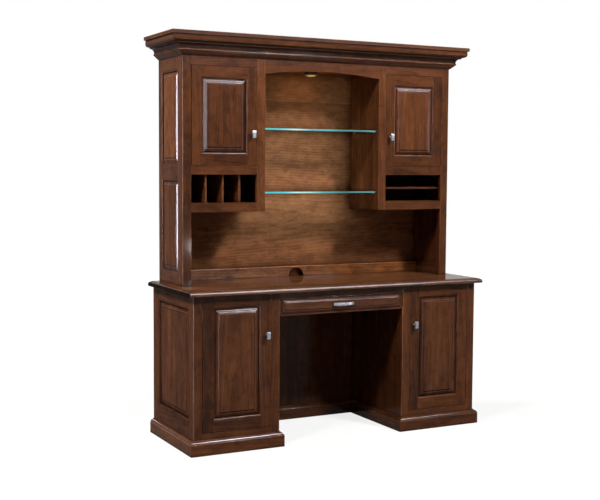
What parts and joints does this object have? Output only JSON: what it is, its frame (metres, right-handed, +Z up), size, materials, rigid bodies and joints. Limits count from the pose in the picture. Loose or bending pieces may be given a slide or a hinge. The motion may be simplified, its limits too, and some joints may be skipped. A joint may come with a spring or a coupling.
{
  "type": "credenza desk with hutch",
  "caption": "Kneehole credenza with door pedestals and a shallow drawer, under a hutch with arched open centre, glass shelves, doors, mail slots and letter trays.",
  "frame": {"origin": "centre of the footprint box, on the floor", "axes": "+Z up, -Y towards the sitter (the front), +Y towards the wall, +X to the sitter's right"},
  "size_m": [1.712, 0.582, 2.022],
  "materials": {
    "stained_wood": "dark walnut-brown stain under satin lacquer",
    "interior_wood": "lighter brown stain under satin lacquer",
    "satin_nickel": "satin nickel plated",
    "zinc_steel": "zinc plated",
    "dark_bronze": "dark bronze coated steel",
    "shelf_glass": "clear, polished edges",
    "catch_plastic": "black",
    "lens_plastic": "frosted white"
  },
  "bodies": {
    "cabinet": {"desk_left_end_frame": "stained_wood", "desk_right_end_frame": "stained_wood", "desk_end_panels": "stained_wood", "left_pedestal_face_frame": "stained_wood", "right_pedestal_face_frame": "stained_wood", "kneehole_sides": "stained_wood", "pedestal_decks": "interior_wood", "pedestal_stretchers": "interior_wood", "pedestal_shelves": "interior_wood", "shelf_pins": "satin_nickel", "pedestal_backs": "interior_wood", "kneehole_back": "stained_wood", "drawer_apron": "stained_wood", "plinth": "stained_wood", "worktop": "stained_wood", "drawer_runner_outers": "zinc_steel", "hinge_frame_leaves": "dark_bronze", "hinge_pins": "dark_bronze", "door_catches": "catch_plastic", "hutch_left_end_frame": "stained_wood", "hutch_right_end_frame": "stained_wood", "hutch_end_panels": "stained_wood", "hutch_face_frame": "stained_wood", "arched_rail": "stained_wood", "hutch_partitions": "stained_wood", "hutch_cabinet_decks": "interior_wood", "hutch_top_boards": "interior_wood", "mail_slot_dividers": "stained_wood", "letter_tray": "stained_wood", "hutch_cabinet_shelves": "interior_wood", "glass_shelves": "shelf_glass", "hutch_back": "stained_wood", "cable_channel_cover": "stained_wood", "crown_moulding": "stained_wood", "puck_light_trim": "dark_bronze", "puck_light_lens": "lens_plastic", "hutch_dowels": "interior_wood"},
    "drawer": {"drawer_front": "stained_wood", "drawer_box": "interior_wood", "drawer_bottom": "interior_wood", "drawer_pull": "satin_nickel", "drawer_runner_inners": "zinc_steel"},
    "left_runner_middle": {"left_runner_middle": "zinc_steel"},
    "right_runner_middle": {"right_runner_middle": "zinc_steel"},
    "left_desk_door": {"left_desk_door_frame": "stained_wood", "left_desk_door_panel": "stained_wood", "left_desk_door_knob": "satin_nickel", "left_desk_door_fittings": "dark_bronze"},
    "right_desk_door": {"right_desk_door_frame": "stained_wood", "right_desk_door_panel": "stained_wood", "right_desk_door_knob": "satin_nickel", "right_desk_door_fittings": "dark_bronze"},
    "left_hutch_door": {"left_hutch_door_frame": "stained_wood", "left_hutch_door_panel": "stained_wood", "left_hutch_door_knob": "satin_nickel", "left_hutch_door_fittings": "dark_bronze"},
    "right_hutch_door": {"right_hutch_door_frame": "stained_wood", "right_hutch_door_panel": "stained_wood", "right_hutch_door_knob": "satin_nickel", "right_hutch_door_fittings": "dark_bronze"}
  },
  "joints": [
    {"name": "drawer_slide", "type": "slide", "parent": "cabinet", "child": "drawer", "axis": [0, -1, 0], "range_m": [0, 0.4]},
    {"name": "left_runner_slide", "type": "slide", "parent": "cabinet", "child": "left_runner_middle", "axis": [0, -1, 0], "range_m": [0, 0.2]},
    {"name": "right_runner_slide", "type": "slide", "parent": "cabinet", "child": "right_runner_middle", "axis": [0, -1, 0], "range_m": [0, 0.2]},
    {"name": "left_desk_door_hinge", "type": "hinge", "parent": "cabinet", "child": "left_desk_door", "pos_m": [-0.7635, -0.2613, 0.433], "axis": [0, 0, -1], "range_deg": [0, 110]},
    {"name": "right_desk_door_hinge", "type": "hinge", "parent": "cabinet", "child": "right_desk_door", "pos_m": [0.7635, -0.2613, 0.433], "axis": [0, 0, 1], "range_deg": [0, 110]},
    {"name": "left_hutch_door_hinge", "type": "hinge", "parent": "cabinet", "child": "left_hutch_door", "pos_m": [-0.7305, -0.0413, 1.6235], "axis": [0, 0, -1], "range_deg": [0, 110]},
    {"name": "right_hutch_door_hinge", "type": "hinge", "parent": "cabinet", "child": "right_hutch_door", "pos_m": [0.7305, -0.0413, 1.6235], "axis": [0, 0, 1], "range_deg": [0, 110]}
  ],
  "couplings": [
    {"joint": "left_runner_slide", "follows": "drawer_slide", "ratio": 0.5},
    {"joint": "right_runner_slide", "follows": "drawer_slide", "ratio": 0.5}
  ]
}
